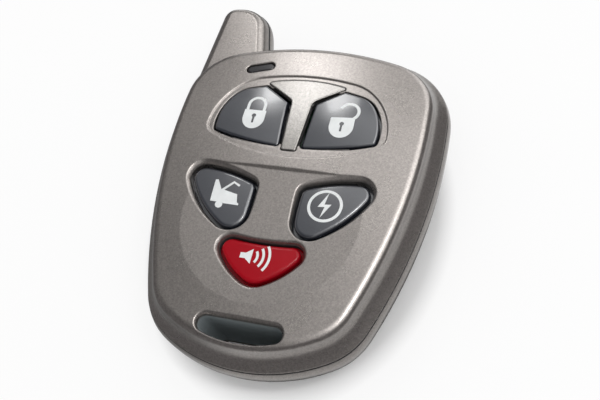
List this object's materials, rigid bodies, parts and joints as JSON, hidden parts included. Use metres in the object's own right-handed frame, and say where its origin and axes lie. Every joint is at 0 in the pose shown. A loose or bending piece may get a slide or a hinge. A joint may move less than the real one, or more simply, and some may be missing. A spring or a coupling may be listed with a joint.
{
  "type": "remote start key fob",
  "caption": "Pocket remote control for a car with domed press keys in a painted two part housing, a stub antenna and a slot for a key ring.",
  "frame": {"origin": "on the flat back, on the middle line, halfway along the body without its antenna", "axes": "+Z out of the face with the keys, +Y along the body towards the antenna, +X to the right seen from the face"},
  "size_m": [0.0458, 0.0646, 0.0134],
  "materials": {
    "housing_paint": "satin metallic paint on moulded plastic, warm grey with fine flake",
    "trim_paint": "satin silver paint on moulded plastic",
    "smoked_window": "smoked clear plastic, polished",
    "grey_key": "dark grey lacquered key with a light printed symbol",
    "panic_key": "red lacquered key",
    "plunger_plastic": "plain moulded plastic",
    "switch_metal": "plated sheet cover on a moulded switch",
    "board_laminate": "green solder mask on glass laminate",
    "led_resin": "tinted clear resin",
    "chip_package": "moulded chip package",
    "can_metal": "plated can",
    "component_ceramic": "ceramic chips",
    "cell_steel": "bright coin cell",
    "spring_steel": "plated spring steel",
    "copper_wire": "enamelled copper wire",
    "screw_steel": "blackened steel screws"
  },
  "bodies": {
    "housing": {"front_cover": "housing_paint", "rear_cover": "housing_paint", "centre_trim": "trim_paint", "led_lens": "smoked_window", "circuit_board": "board_laminate", "status_led": "led_resin", "controller_chip": "chip_package", "radio_resonator": "can_metal", "small_components": "component_ceramic", "battery_cell": "cell_steel", "battery_clip": "spring_steel", "battery_spring": "spring_steel", "antenna_coil": "copper_wire", "housing_screws": "screw_steel", "lock_switch": "switch_metal", "unlock_switch": "switch_metal", "trunk_switch": "switch_metal", "start_switch": "switch_metal", "panic_switch": "switch_metal"},
    "lock_key": {"lock_button": "grey_key", "lock_plunger": "plunger_plastic"},
    "unlock_key": {"unlock_button": "grey_key", "unlock_plunger": "plunger_plastic"},
    "trunk_key": {"trunk_button": "grey_key", "trunk_plunger": "plunger_plastic"},
    "start_key": {"start_button": "grey_key", "start_plunger": "plunger_plastic"},
    "panic_key": {"panic_button": "panic_key", "panic_plunger": "plunger_plastic"}
  },
  "joints": [
    {"name": "lock_press", "type": "slide", "parent": "housing", "child": "lock_key", "axis": [0, 0, -1], "range_m": [0, 0.0003], "stiffness_N_per_m": 600, "springref_m": -0.0002},
    {"name": "unlock_press", "type": "slide", "parent": "housing", "child": "unlock_key", "axis": [0, 0, -1], "range_m": [0, 0.0003], "stiffness_N_per_m": 600, "springref_m": -0.0002},
    {"name": "trunk_press", "type": "slide", "parent": "housing", "child": "trunk_key", "axis": [0, 0, -1], "range_m": [0, 0.0003], "stiffness_N_per_m": 600, "springref_m": -0.0002},
    {"name": "start_press", "type": "slide", "parent": "housing", "child": "start_key", "axis": [0, 0, -1], "range_m": [0, 0.0003], "stiffness_N_per_m": 600, "springref_m": -0.0002},
    {"name": "panic_press", "type": "slide", "parent": "housing", "child": "panic_key", "axis": [0, 0, -1], "range_m": [0, 0.0003], "stiffness_N_per_m": 600, "springref_m": -0.0002}
  ]
}
